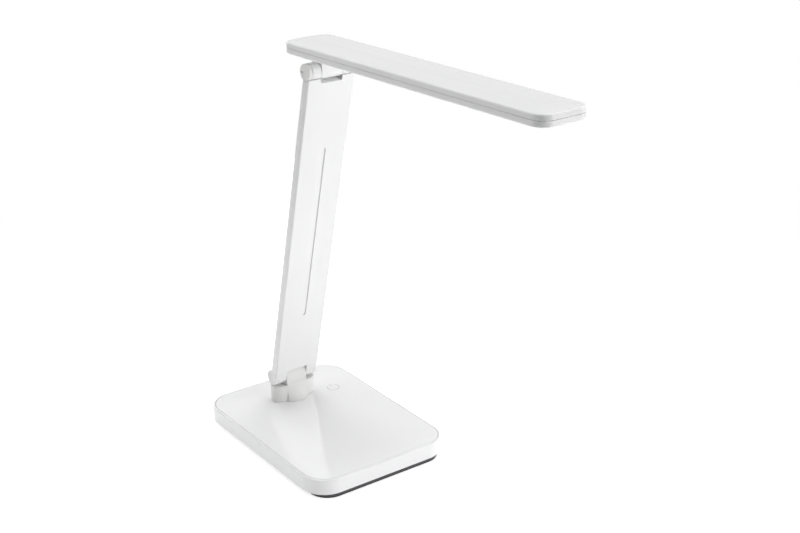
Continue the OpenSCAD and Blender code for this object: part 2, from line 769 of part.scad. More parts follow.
module leds() color([0.95, 0.85, 0.4]) at_head()
    for (i = [0:led_count - 1], s = [-1, 1])
        translate([s * led_board_w / 4, window_y + (i + 0.5 - led_count / 2) * led_board_len / led_count,
            led_z + led_h / 2]) cube([led_side, led_side, led_h], center = true);

module led_board() color([0.9, 0.9, 0.9]) at_head() difference() {
    translate([0, window_y, 0]) slab(led_board_w, led_board_len, 1, led_board_z, led_board_z + led_board_t);
    led_holes();
}

module led_holes() for (y = [-1, 1])
    post(0, window_y + y * (led_board_len / 2 - led_hole_in), board_screw_r,
        led_board_z - cut, led_board_z + 4);

module heat_spreader() color(steel) at_head() difference() {
    translate([0, window_y, 0])
        slab(led_board_w - 2 * spreader_in, led_board_len - 2 * spreader_in, 1,
            led_board_z + led_board_t, led_board_z + led_board_t + spreader_t);
    led_holes();
}

module led_screws() color(steel) at_head() for (y = [-1, 1]) {
    led_place = window_y + y * (led_board_len / 2 - led_hole_in);
    head_z = led_board_z + led_board_t + spreader_t;
    post(0, led_place, board_screw_r, led_board_z, head_z);
    post(0, led_place, led_head_r, head_z, head_z + led_head_t);
}

module head_wire() color([0.85, 0.85, 0.85]) at_head()
    for (x = [-wire_x, wire_x]) translate([x, head_wire_end, frame_top + wire_r + 0.2]) rotate([90, 0, 0])
        cylinder(h = head_wire_end - window_y - window_len / 2 - 1, r = wire_r, $fn = 24);

rubber_pad();
base_plate();
base_housing();
base_cover();
steel_weight();
control_board();
board_parts();
board_screws();
touch_pad();
power_symbol();
power_socket();
base_screws();
weight_screws();
swivel_bush();
swivel_disc();
swivel_retainer();
swivel_screws();
hinge_block();
arm_front_cover();
arm_rear_shell();
arm_rail();
arm_wire();
arm_screws();
lower_pin();
lower_washers();
lower_cap_left();
lower_cap_right();
upper_pin();
upper_washers();
upper_cap_left();
upper_cap_right();
head_bracket();
head_lower_frame();
head_top_shell();
diffuser();
reflector();
leds();
led_board();
heat_spreader();
bracket_screws();
led_screws();
head_wire();
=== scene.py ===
"""Folding LED desk lamp: the visible pieces and finishes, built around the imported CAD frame."""

import json
import math

import bmesh
import bpy
import numpy as np
from bpy.props import FloatProperty, FloatVectorProperty, PointerProperty
from mathutils import Matrix, Vector


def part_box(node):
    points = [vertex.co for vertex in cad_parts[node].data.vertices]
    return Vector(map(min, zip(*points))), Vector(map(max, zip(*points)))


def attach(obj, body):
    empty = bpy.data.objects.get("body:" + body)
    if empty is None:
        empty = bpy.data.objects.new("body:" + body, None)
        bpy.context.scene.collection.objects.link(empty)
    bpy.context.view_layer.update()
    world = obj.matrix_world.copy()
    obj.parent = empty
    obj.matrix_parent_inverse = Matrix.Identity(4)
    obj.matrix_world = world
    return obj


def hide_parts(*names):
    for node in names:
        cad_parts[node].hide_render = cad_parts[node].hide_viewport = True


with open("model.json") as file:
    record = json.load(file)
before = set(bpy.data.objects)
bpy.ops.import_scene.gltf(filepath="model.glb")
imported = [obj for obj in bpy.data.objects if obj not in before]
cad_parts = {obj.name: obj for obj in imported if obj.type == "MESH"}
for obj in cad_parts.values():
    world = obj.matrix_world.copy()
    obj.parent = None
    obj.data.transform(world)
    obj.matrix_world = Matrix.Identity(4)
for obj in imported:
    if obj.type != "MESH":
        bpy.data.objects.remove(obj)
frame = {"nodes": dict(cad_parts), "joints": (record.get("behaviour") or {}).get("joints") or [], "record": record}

bl_info = {
    "name": "Folding desk lamp",
    "version": (1, 0, 0),
    "blender": (4, 5, 0),
    "location": "3D View > Sidebar > Lamp",
    "description": "Builds the shells, hinges and finishes of a folding LED desk lamp",
    "category": "Add Mesh",
}

MM = 0.001
SOFTEN_FROM = math.radians(38)
SHARP_FROM = math.radians(34)
SLOT_EDGE, SHELL_EDGE, KNUCKLE_EDGE = 0.12 * MM, 0.16 * MM, 0.35 * MM
BOW = 2.5
NODES = frame["nodes"]
JOINTS = {joint["name"]: joint for joint in frame["joints"]}
LOW_PIN = np.array(JOINTS["arm_fold"]["pos_m"])
TOP_PIN = np.array(JOINTS["head_fold"]["pos_m"])
SWIVEL = np.array(JOINTS["base_swivel"]["pos_m"])
ARM_LENGTH = float(np.linalg.norm(TOP_PIN - LOW_PIN))
ARM_LEAN = math.atan2(LOW_PIN[1] - TOP_PIN[1], TOP_PIN[2] - LOW_PIN[2])
BASE_LOW, BASE_HIGH = (np.array(corner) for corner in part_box("base_housing"))
BLOCK_LOW, BLOCK_HIGH = (np.array(corner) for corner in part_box("hinge_block"))
SOCKET_LOW, SOCKET_HIGH = (np.array(corner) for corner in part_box("power_socket"))


def length(name, description, millimetres):
    """A length that a user may change, given in millimetres and kept in metres."""
    return FloatProperty(name=name, description=description, default=millimetres * MM, min=0.0,
                         unit="LENGTH", precision=5)


def colour(name, description, value):
    """A colour that a user may change."""
    return FloatVectorProperty(name=name, description=description, default=value, size=3, min=0.0,
                               max=1.0, subtype="COLOR")


class BaseSizes(bpy.types.PropertyGroup):
    """Sizes of the base."""
    width: length("Width", "Width of the base, left to right", (BASE_HIGH - BASE_LOW)[0] / MM)
    depth: length("Depth", "Depth of the base, front to rear", (BASE_HIGH - BASE_LOW)[1] / MM)
    corner: length("Corner", "Plan radius of the base corners", 21)
    wall: length("Wall", "Thickness of the side wall", 2.2)
    foot: length("Foot", "Width of the lip inside the foot of the wall", 7)
    wall_edge: length("Wall edge", "Rounding of the wall's top edge", 1.0)
    rim: length("Rim", "Width of the rim strip around the cover", 1.7)
    rim_drop: length("Rim drop", "How far the rim strip lies below the cover's edge", 0.25)
    gap: length("Gap", "Gap between the rim and the cover", 0.2)
    cover_edge: length("Cover edge", "Rounding of the cover's edge", 0.8)
    crown: length("Crown", "Rise of the cover above the rim", 1.0)
    crown_border: length("Crown border", "Width of the cover's soft border", 22)
    deck_drop: length("Deck drop", "Depth of the deck below the rim", 2.1)
    deck: length("Deck", "Thickness of the deck under the cover", 1.6)
    symbol: length("Symbol", "Radius of the touch symbol", 5.3)
    symbol_line: length("Symbol line", "Width of the touch symbol's lines", 0.7)
    symbol_side: length("Symbol side", "Distance of the touch symbol from the right side", 28.5)
    symbol_rear: length("Symbol rear", "Distance of the touch symbol from the rear", 46.5)


class HingeSizes(bpy.types.PropertyGroup):
    """Sizes of the swivel and the two hinges."""
    barrel: length("Barrel", "Radius of the hinge barrels", 6.4)
    cap: length("Cap", "Radius of the end caps", 6.4)
    cap_width: length("Cap width", "Width of the end caps", 2.6)
    cap_set: length("Cap set", "How far the caps stay inside the arm's sides", 0.4)
    dish: length("Dish", "Depth of the dished face of a cap", 0.8)
    low_knuckle: length("Lower knuckle", "Width of the knuckle on the hinge block", 18.4)
    top_knuckle: length("Upper knuckle", "Width of the knuckle under the head", 18)
    play: length("Play", "Room at each side of a knuckle", 0.45)
    disc: length("Disc", "Radius of the swivel disc", 12.6)
    disc_height: length("Disc height", "Height of the swivel disc", 2.4)
    shoulder: length("Shoulder", "Height of the block's shoulders below the lower pin", 7.8)
    slot_width: length("Slot", "Width of the pry slot in the upper caps", 0.9)


class ArmSizes(bpy.types.PropertyGroup):
    """Sizes of the arm."""
    width: length("Width", "Width of the arm", 40)
    thickness: length("Thickness", "Thickness of the arm", 7.8)
    edge: length("Edge", "Rounding of the arm's long edges", 1.0)
    front: length("Front", "Depth of the front cover, up to the parting line", 3.0)
    seam: length("Seam", "Width of the parting line", 0.18)
    notch: length("Notch", "Distance from a pin to the edge of its notch", 7.5)
    cover_start: length("Cover start", "Distance from the lower pin to the front cover", 2.0)
    cover_drop: length("Cover drop", "Distance from the upper pin to the front cover", 3.8)
    groove_start: length("Groove start", "Distance from the lower pin to the groove", 61)
    groove_length: length("Groove length", "Length of the groove in the arm's front", 153)
    groove_width: length("Groove width", "Width of the groove", 4.2)
    groove_depth: length("Groove depth", "Depth of the groove", 0.8)


class HeadSizes(bpy.types.PropertyGroup):
    """Sizes of the light head."""
    width: length("Width", "Width of the head", 40)
    front: length("Front", "Reach of the head in front of its pin", 253.5)
    rear: length("Rear", "Reach of the head behind its pin", 29.5)
    corner: length("Corner", "Plan radius of the head corners", 10)
    gap: length("Gap", "Distance from the upper pin to the head's underside", 10)
    height: length("Height", "Height of the head's side", 8.6)
    frame: length("Frame", "Height of the lower frame, up to the parting line", 4.4)
    crown: length("Crown", "Rise of the head's top", 1.2)
    edge: length("Edge", "Rounding of the head's edges", 1.4)
    window_length: length("Window length", "Length of the light window", 204)
    window_width: length("Window width", "Width of the light window", 29)
    window_inset: length("Window inset", "Distance from the head's tip to the window", 9)
    tilt: FloatProperty(name="Tilt", description="Tilt of the head from level",
                        default=math.radians(-2.2), subtype="ANGLE")


class Finishes(bpy.types.PropertyGroup):
    """Colours of the lamp's materials."""
    gloss: colour("Gloss white", "Cover of the base and top of the head", (0.86, 0.86, 0.86))
    satin: colour("Satin white", "Walls, arm and lower frame", (0.845, 0.845, 0.847))
    hinge: colour("Hinge white", "Block, disc and caps", (0.82, 0.82, 0.808))
    symbol: colour("Symbol grey", "Touch symbol", (0.5, 0.5, 0.51))
    rubber: colour("Rubber black", "Pad and plate under the base", (0.016, 0.016, 0.017))


# Shapes. An outline is a closed line of points in a plane, counter-clockwise.

def soft_rectangle(width, low, high, low_round, high_round, per_corner=8):
    """Outline of a rectangle: each corner is its centre plus radius times (cos a, sin a) over a quarter turn."""
    turn = np.linspace(0, np.pi / 2, per_corner) + np.arange(4)[:, None] * np.pi / 2
    side = np.array([1, -1, -1, 1])[:, None]
    radius = np.array([high_round, high_round, low_round, low_round])[:, None]
    middle = np.array([high - high_round] * 2 + [low + low_round] * 2)[:, None]
    x = side * (width / 2 - radius) + radius * np.cos(turn)
    return np.stack([x.ravel(), (middle + radius * np.sin(turn)).ravel()], -1)


def plan(width, depth, radius, per_corner=14):
    """Rounded rectangle centred on the origin."""
    return soft_rectangle(width, -depth / 2, depth / 2, radius, radius, per_corner)


def circle(radius, count=96):
    """Points radius times (cos a, sin a) over a full turn."""
    turn = np.arange(count) * 2 * np.pi / count
    return radius * np.stack([np.cos(turn), np.sin(turn)], -1)


def inward(outline):
    """For each point the step that moves both its edges inwards by one: (n1 + n2) / (1 + n1 . n2)."""
    edge = np.roll(outline, -1, 0) - outline
    normal = np.stack([-edge[:, 1], edge[:, 0]], -1) / np.linalg.norm(edge, axis=1)[:, None]
    before = np.roll(normal, 1, 0)
    return (before + normal) / (1 + (before * normal).sum(1, keepdims=True))


def side_levels(low, high, low_round, high_round, steps=4):
    """(inset, height) up the side of a solid, with a quarter circle at each end."""
    turn = np.linspace(0, np.pi / 2, steps + 1)
    inset, rise = 1 - np.sin(turn), 1 - np.cos(turn)
    return np.vstack([
        np.stack([low_round * inset, low + low_round * rise], -1),
        np.stack([high_round * inset, high - high_round * rise], -1)[::-1],
    ])


def stack(outline, levels):
    """Rings of an outline: at each (inset, height) the outline moves inwards by the inset."""
    flat = outline[None] + levels[:, 0, None, None] * inward(outline)[None]
    height = np.broadcast_to(levels[:, 1, None, None], flat.shape[:2] + (1,))
    return np.concatenate([flat, height], -1)


def solid(outline, low, high, low_round=0.2 * MM, high_round=0.2 * MM, steps=4):
    """An outline carried from a low to a high level, with both edges rounded."""
    return stack(outline, side_levels(low, high, low_round, high_round, steps))


def prism(outline, low, high):
    """An outline carried from a low to a high level, with sharp edges, for cutting."""
    return stack(outline, np.array([[0, low], [0, high]]))


def lathe(profile, count=96):
    """Rings of a profile of (radius, height) turned about the height axis."""
    turn = np.arange(count) * 2 * np.pi / count
    ring = np.stack([np.cos(turn), np.sin(turn)], -1)
    flat = profile[:, 0, None, None] * ring[None]
    height = np.broadcast_to(profile[:, 1, None, None], flat.shape[:2] + (1,))
    return np.concatenate([flat, height], -1)


def along_x(points):
    """A solid whose outline was in (y, z) and whose height was along X."""
    return points[..., [2, 0, 1]]


def along_y(points):
    """A solid whose outline was in (x, z) and whose height was along Y."""
    return points[..., [0, 2, 1]]


def placed(points, origin, lean=0.0):
    """Points turned about X and moved: (x, y cos a - z sin a, y sin a + z cos a) + origin."""
    x, y, z = np.moveaxis(points, -1, 0)
    turned = [x, y * math.cos(lean) - z * math.sin(lean), y * math.sin(lean) + z * math.cos(lean)]
    return np.stack(turned, -1) + np.asarray(origin)


def mirrored(points):
    """The same solid on the other side of the middle."""
    return points * np.array([-1, 1, 1])


def shell(points, closed=False):
    """Faces of a grid of rings: a quad between neighbours, and a face over each end unless the rings close."""
    rows, count = points.shape[:2]
    i, j = np.arange(rows if closed else rows - 1)[:, None], np.arange(count)[None]
    near, far = i * count, (i + 1) % rows * count
    quads = np.stack([near + j, near + (j + 1) % count, far + (j + 1) % count, far + j], -1)
    faces = quads.reshape(-1, 4).tolist()
    if not closed:
        faces += [list(range(count))[::-1], list(range((rows - 1) * count, rows * count))]
    return points.reshape(-1, 3), faces


def mesh_of(name, grids, closed=False):
    """One mesh of several closed solids, with its faces outwards."""
    vertices, faces = [], []
    for grid in grids:
        points, quads = shell(grid, closed)
        start = sum(len(v) for v in vertices)
        faces += [[corner + start for corner in face] for face in quads]
        vertices.append(points)
    mesh = bpy.data.meshes.new(name)
    mesh.from_pydata(np.vstack(vertices), [], faces)
    bm = bmesh.new()
    bm.from_mesh(mesh)
    bmesh.ops.recalc_face_normals(bm, faces=bm.faces)
    bm.to_mesh(mesh)
    bm.free()
    mesh.shade_smooth()
    return mesh


def new_piece(name, grids, closed=False):
    """A new object in the scene made of closed solids."""
    piece = bpy.data.objects.new(name, mesh_of(name, grids, closed))
    bpy.context.scene.collection.objects.link(piece)
    return piece


def apply_modifiers(piece):
    """Puts the modified shape into the mesh."""
    graph = bpy.context.evaluated_depsgraph_get()
    piece.data = bpy.data.meshes.new_from_object(piece.evaluated_get(graph))
    piece.modifiers.clear()


def carve(piece, grids):
    """Cuts solids out of a piece."""
    for grid in grids:
        tool = new_piece("tool", [grid])
        cutter = piece.modifiers.new("cut", "BOOLEAN")
        cutter.operation, cutter.object, cutter.solver = "DIFFERENCE", tool, "EXACT"
        apply_modifiers(piece)
        bpy.data.objects.remove(tool)


def soften(piece, width):
    """A narrow rounding along every sharp edge."""
    bevel = piece.modifiers.new("edges", "BEVEL")
    bevel.width, bevel.segments, bevel.limit_method = width, 2, "ANGLE"
    bevel.angle_limit, bevel.use_clamp_overlap = SOFTEN_FROM, True
    apply_modifiers(piece)


def finish_piece(piece, body, slot, material, *nodes):
    """Gives a piece its shading, material and body, and hides the CAD nodes it replaces."""
    piece.data.shade_smooth()
    piece.data.set_sharp_from_angle(angle=SHARP_FROM)
    weighted = piece.modifiers.new("flat faces", "WEIGHTED_NORMAL")
    weighted.keep_sharp = True
    piece.data.materials.clear()
    piece.data.materials.append(material)
    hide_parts(*nodes)
    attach(piece, body)
    return piece


# Materials. The groups read a surface's place and shape; the Principled BSDF stays in the material.

def new_group(name, inputs, outputs):
    """An empty shader node group with named sockets; an input is (name, type, default)."""
    group = bpy.data.node_groups.new(name, "ShaderNodeTree")
    for socket, kind, default in inputs:
        made = group.interface.new_socket(name=socket, in_out="INPUT", socket_type="NodeSocket" + kind)
        if default is not None:
            made.default_value = default
    for socket, kind in outputs:
        group.interface.new_socket(name=socket, in_out="OUTPUT", socket_type="NodeSocket" + kind)
    return group, group.nodes.new("NodeGroupInput"), group.nodes.new("NodeGroupOutput")


def remap(tree, value, low, high, to_low, to_high):
    """A Map Range node from one span to another; a number or a socket may be given for the new ends."""
    node = tree.nodes.new("ShaderNodeMapRange")
    tree.links.new(value, node.inputs["Value"])
    node.inputs["From Min"].default_value, node.inputs["From Max"].default_value = low, high
    for socket, end in (("To Min", to_low), ("To Max", to_high)):
        if isinstance(end, bpy.types.NodeSocket):
            tree.links.new(end, node.inputs[socket])
        else:
            node.inputs[socket].default_value = end
    return node.outputs["Result"]


def noise(tree, vector, scale, detail=2.0):
    """A Noise Texture; its scale is a number or a socket."""
    node = tree.nodes.new("ShaderNodeTexNoise")
    tree.links.new(vector, node.inputs["Vector"])
    if isinstance(scale, bpy.types.NodeSocket):
        tree.links.new(scale, node.inputs["Scale"])
    else:
        node.inputs["Scale"].default_value = scale
    node.inputs["Detail"].default_value = detail
    return node.outputs["Fac"]


def moulded_group():
    """Moulded plastic: fine grain as height, and slow changes of roughness and tone over the surface."""
    group, given, out = new_group(
        "moulded_plastic",
        [("Vector", "Vector", None), ("Grain", "Float", 4000.0), ("Low roughness", "Float", 0.2),
         ("High roughness", "Float", 0.3), ("Colour", "Color", (0.8, 0.8, 0.8, 1.0)),
         ("Shade", "Color", (0.78, 0.78, 0.78, 1.0))],
        [("Height", "Float"), ("Roughness", "Float"), ("Colour", "Color")])
    link = group.links.new
    link(noise(group, given.outputs["Vector"], given.outputs["Grain"], 1.0), out.inputs["Height"])
    cloud = noise(group, given.outputs["Vector"], 26.0, 4.0)
    link(remap(group, cloud, 0.35, 0.65, given.outputs["Low roughness"], given.outputs["High roughness"]),
         out.inputs["Roughness"])
    mix = group.nodes.new("ShaderNodeMix")
    mix.data_type = "RGBA"
    link(remap(group, noise(group, given.outputs["Vector"], 9.0), 0.3, 0.7, 0.0, 1.0), mix.inputs[0])
    link(given.outputs["Colour"], mix.inputs[6])
    link(given.outputs["Shade"], mix.inputs[7])
    link(mix.outputs[2], out.inputs["Colour"])
    return group


def edge_highlight_group():
    """Painted edge highlight: the surface is an edge where its rounded normal turns away from the true one, and
    there its colour is painted paler, as if light caught it; noise breaks the paler line up."""
    group, given, out = new_group(
        "painted_edge_highlights",
        [("Vector", "Vector", None), ("Colour", "Color", (0.8, 0.8, 0.8, 1.0)),
         ("Edge", "Color", (0.9, 0.9, 0.9, 1.0))],
        [("Colour", "Color")])
    link = group.links.new
    bevel = group.nodes.new("ShaderNodeBevel")
    bevel.samples = 4
    bevel.inputs["Radius"].default_value = 0.5 * MM
    geometry = group.nodes.new("ShaderNodeNewGeometry")
    dot = group.nodes.new("ShaderNodeVectorMath")
    dot.operation = "DOT_PRODUCT"
    link(bevel.outputs["Normal"], dot.inputs[0])
    link(geometry.outputs["Normal"], dot.inputs[1])
    edge = remap(group, dot.outputs["Value"], 0.98, 0.75, 0.0, 1.0)
    broken = remap(group, noise(group, given.outputs["Vector"], 220.0, 3.0), 0.35, 0.6, 0.2, 1.0)
    mask = group.nodes.new("ShaderNodeMath")
    mask.operation = "MULTIPLY"
    link(edge, mask.inputs[0])
    link(broken, mask.inputs[1])
    mix = group.nodes.new("ShaderNodeMix")
    mix.data_type = "RGBA"
    link(mask.outputs[0], mix.inputs[0])
    link(given.outputs["Colour"], mix.inputs[6])
    link(given.outputs["Edge"], mix.inputs[7])
    link(mix.outputs[2], out.inputs["Colour"])
    return group


def brushed_group():
    """Drawn or plated metal: noise stretched along one way gives fine lines in height and roughness."""
    group, given, out = new_group(
        "brushed_metal",
        [("Vector", "Vector", None), ("Low roughness", "Float", 0.25), ("High roughness", "Float", 0.45)],
        [("Height", "Float"), ("Roughness", "Float")])
    stretch = group.nodes.new("ShaderNodeMapping")
    stretch.inputs["Scale"].default_value = (40.0, 900.0, 900.0)
    group.links.new(given.outputs["Vector"], stretch.inputs["Vector"])
    lines = noise(group, stretch.outputs["Vector"], 3.0, 4.0)
    group.links.new(lines, out.inputs["Height"])
    group.links.new(remap(group, lines, 0.3, 0.7, given.outputs["Low roughness"],
                          given.outputs["High roughness"]), out.inputs["Roughness"])
    return group


GROUPS = {}


def group_node(tree, name, maker, **values):
    """A group placed in a material with its own values, reading Object coordinates."""
    if name not in GROUPS:
        GROUPS[name] = maker()
    node = tree.nodes.new("ShaderNodeGroup")
    node.node_tree = GROUPS[name]
    place = tree.nodes.new("ShaderNodeTexCoord")
    tree.links.new(place.outputs["Object"], node.inputs["Vector"])
    for socket, value in values.items():
        node.inputs[socket.replace("_", " ")].default_value = value
    return node


def new_material(name, **values):
    """A material with its Principled BSDF set from named values."""
    material = bpy.data.materials.new(name)
    material.use_nodes = True
    shader = material.node_tree.nodes["Principled BSDF"]
    for socket, value in values.items():
        shader.inputs[socket.replace("_", " ")].default_value = value
    return material, material.node_tree, shader


def add_bump(tree, shader, height, depth):
    """Feeds a height into the shader's normal; depth is the real height of the relief."""
    bump = tree.nodes.new("ShaderNodeBump")
    bump.inputs["Distance"].default_value = depth
    bump.inputs["Strength"].default_value = 1.0
    tree.links.new(height, bump.inputs["Height"])
    tree.links.new(bump.outputs["Normal"], shader.inputs["Normal"])


def plastic(name, tint, rough, grain, relief, highlight_lift=0.05, **values):
    """Moulded plastic with fine grain, slow mottling and a painted highlight that makes its edges paler: rough is
    its span of roughness, grain the number of grains in a metre and relief their height."""
    material, tree, shader = new_material(name, **values)
    tone = (*tint, 1.0)
    mottled = 0.975
    shade = (*[mottled * c for c in tint], 1.0)
    skin = group_node(tree, "moulded_plastic", moulded_group, Grain=grain, Low_roughness=rough[0],
                      High_roughness=rough[1], Colour=tone, Shade=shade)
    # Painted highlight: the colour along the edges is lifted paler, as if light caught them.
    edge_highlight = group_node(tree, "painted_edge_highlights", edge_highlight_group,
                      Edge=(*[min(1.0, c + highlight_lift) for c in tint], 1.0))
    tree.links.new(skin.outputs["Colour"], edge_highlight.inputs["Colour"])
    tree.links.new(edge_highlight.outputs["Colour"], shader.inputs["Base Color"])
    tree.links.new(skin.outputs["Roughness"], shader.inputs["Roughness"])
    add_bump(tree, shader, skin.outputs["Height"], relief)
    return material


def metal(name, tint, rough, relief=0.002 * MM):
    """Plain metal with fine drawn lines; rough is its span of roughness and relief the depth of the lines."""
    material, tree, shader = new_material(name, Metallic=1.0, Base_Color=(*tint, 1.0))
    lines = group_node(tree, "brushed_metal", brushed_group, Low_roughness=rough[0], High_roughness=rough[1])
    tree.links.new(lines.outputs["Roughness"], shader.inputs["Roughness"])
    add_bump(tree, shader, lines.outputs["Height"], relief)
    return material


MATERIALS = {}


def make_materials(finish):
    """Every finish of the record, by its slot name."""
    gloss, satin, hinge = tuple(finish.gloss), tuple(finish.satin), tuple(finish.hinge)
    rubber, symbol = tuple(finish.rubber), tuple(finish.symbol)
    MATERIALS.update({
        "gloss_white": plastic("gloss_white", gloss, (0.06, 0.11), 900.0, 0.0008 * MM, 0.04,
                               Coat_Weight=0.35, Coat_Roughness=0.04),
        "satin_white": plastic("satin_white", satin, (0.3, 0.4), 2600.0, 0.004 * MM),
        "hinge_white": plastic("hinge_white", hinge, (0.42, 0.52), 2200.0, 0.008 * MM),
        "black_rubber": plastic("black_rubber", rubber, (0.75, 0.9), 1500.0, 0.03 * MM, 0.03),
        "black_plastic": plastic("black_plastic", (0.04, 0.04, 0.042), (0.4, 0.55), 2000.0, 0.01 * MM, 0.05),
        "bare_steel": metal("bare_steel", (0.55, 0.56, 0.58), (0.25, 0.4)),
        "bare_aluminium": metal("bare_aluminium", (0.76, 0.77, 0.79), (0.3, 0.45)),
        "zinc_screw": metal("zinc_screw", (0.66, 0.66, 0.64), (0.22, 0.35)),
        "circuit_board": plastic("circuit_board", (0.04, 0.22, 0.1), (0.3, 0.45), 1200.0, 0.01 * MM, 0.1),
        "board_white": plastic("board_white", (0.82, 0.82, 0.8), (0.35, 0.45), 1500.0, 0.004 * MM),
        "copper": metal("copper", (0.72, 0.42, 0.25), (0.25, 0.4)),
        "symbol_grey": plastic("symbol_grey", symbol, (0.35, 0.45), 1800.0, 0.002 * MM),
        "opal": plastic("opal", (0.88, 0.88, 0.85), (0.3, 0.4), 1600.0, 0.004 * MM,
                        Subsurface_Weight=0.3, Subsurface_Scale=0.002),
        "reflector_white": plastic("reflector_white", (0.9, 0.9, 0.9), (0.5, 0.6), 1500.0, 0.004 * MM),
        "led_yellow": plastic("led_yellow", (0.9, 0.78, 0.3), (0.3, 0.4), 1500.0, 0.003 * MM),
        "wire_white": plastic("wire_white", (0.82, 0.82, 0.82), (0.5, 0.6), 1500.0, 0.01 * MM),
    })


# Base

def base_ring(base, inset):
    """Outline of the base drawn in by an inset; the corner shrinks by four fifths of it."""
    least = 4 * MM
    radius = max(base.corner - 0.8 * inset, least)
    return plan(base.width - 2 * inset, base.depth - 2 * inset, radius, 16)


def rings(outlines, heights):
    """Outlines of as many points stacked at their heights."""
    flat = np.stack(outlines)
    height = np.broadcast_to(np.asarray(heights)[:, None, None], flat.shape[:2] + (1,))
    return np.concatenate([flat, height], -1)


def round_corner(inset, height, radius, start, end, steps=4):
    """Points (inset, height) of a rounding about a centre, from one angle to another, in degrees."""
    turn = np.radians(np.linspace(start, end, steps + 1))
    return np.stack([inset - radius * np.cos(turn), height + radius * np.sin(turn)], -1)


class LAMP_OT_base(bpy.types.Operator):
    """Build the base: wall with its rim, glossy cover and touch symbol"""
    bl_idname = "lamp.base"
    bl_label = "Base"

    def execute(self, context):
        base = context.scene.lamp_base
        low, rim = BASE_LOW[2], BASE_HIGH[2]
        strip = rim - base.rim_drop
        deck = rim - base.deck_drop
        small, heel, lip = 0.3 * MM, 0.4 * MM, 1.0 * MM
        section = np.vstack([
            [[base.foot, low]],
            round_corner(heel, low + heel, heel, -90, 0),
            round_corner(base.wall_edge, strip - base.wall_edge, base.wall_edge, 0, 90),
            round_corner(base.rim - small, strip - small, small, 90, 180, 3),
            [[base.rim, deck - base.deck], [base.wall, deck - base.deck], [base.wall, low + lip],
             [base.foot, low + lip]],
        ])
        wall = new_piece("base_wall", [rings([base_ring(base, i) for i in section[:, 0]], section[:, 1])],
                         closed=True)
        socket_z = (SOCKET_LOW[2] + SOCKET_HIGH[2]) / 2
        bore, reach, rear = 3.62 * MM, 4 * MM, base.depth / 2
        nose = along_y(prism(circle(bore, 48), rear - reach, rear + lip))
        nose[..., 2] += socket_z
        carve(wall, [nose])
        finish_piece(wall, "base", "satin_white", MATERIALS["satin_white"], "base_housing")

        room = 0.1 * MM
        deck_plate = new_piece("base_deck", [solid(base_ring(base, base.rim + room), deck - base.deck, deck)])
        finish_piece(deck_plate, "base", "satin_white", MATERIALS["satin_white"])

        start = base.rim + base.gap
        edge = base.cover_edge
        part = np.linspace(0, 1, 14)
        border = start + edge + base.crown_border * part
        hair = 0.02 * MM
        section = np.vstack([
            [[start, deck + hair]],
            round_corner(start + edge, rim - edge, edge, 0, 84, 5),
            np.stack([border, rim + base.crown * (1 - (1 - part) ** 2)], -1),
            [[border[-1] + lip, rim + base.crown]],
        ])
        cover = new_piece("base_cover_gloss", [rings([base_ring(base, i) for i in section[:, 0]], section[:, 1])])
        finish_piece(cover, "base", "gloss_white", MATERIALS["gloss_white"], "base_cover")

        symbol = new_piece("touch_symbol", self.symbol_grids(base, rim + base.crown))
        finish_piece(symbol, "base", "symbol_grey", MATERIALS["symbol_grey"], "power_symbol")
        return {"FINISHED"}

    def symbol_grids(self, base, top):
        """A ring open at the rear and a bar: each is a centre line widened by half the line, with round ends."""
        half = base.symbol_line / 2
        radius = base.symbol - half
        opening = 39
        turn = np.radians(np.linspace(90 + opening, 450 - opening, 60))
        end = np.radians(np.linspace(0, 180, 9))[1:-1]
        tip = turn[-1] + end
        tail = turn[0] + np.pi + end
        polar = lambda a, r: np.stack([r * np.cos(a), r * np.sin(a)], -1)
        ring = np.vstack([
            polar(turn, radius + half),
            polar(turn[-1], radius) + polar(tip, half),
            polar(turn[::-1], radius - half),
            polar(turn[0], radius) + polar(tail, half),
        ])
        bar_low, bar_high, bar_end = 0.45 * base.symbol, 1.2 * base.symbol, 0.99 * half
        bar = soft_rectangle(base.symbol_line, bar_low, bar_high, bar_end, bar_end)
        depth, rise, edge = 0.1 * MM, 0.03 * MM, 0.02 * MM
        x, y = base.width / 2 - base.symbol_side, base.depth / 2 - base.symbol_rear
        made = []
        for outline in (ring, bar):
            grid = solid(outline, top - depth, top + rise, edge, edge, 1)
            made.append(placed(grid, (x, y, 0)))
        return made


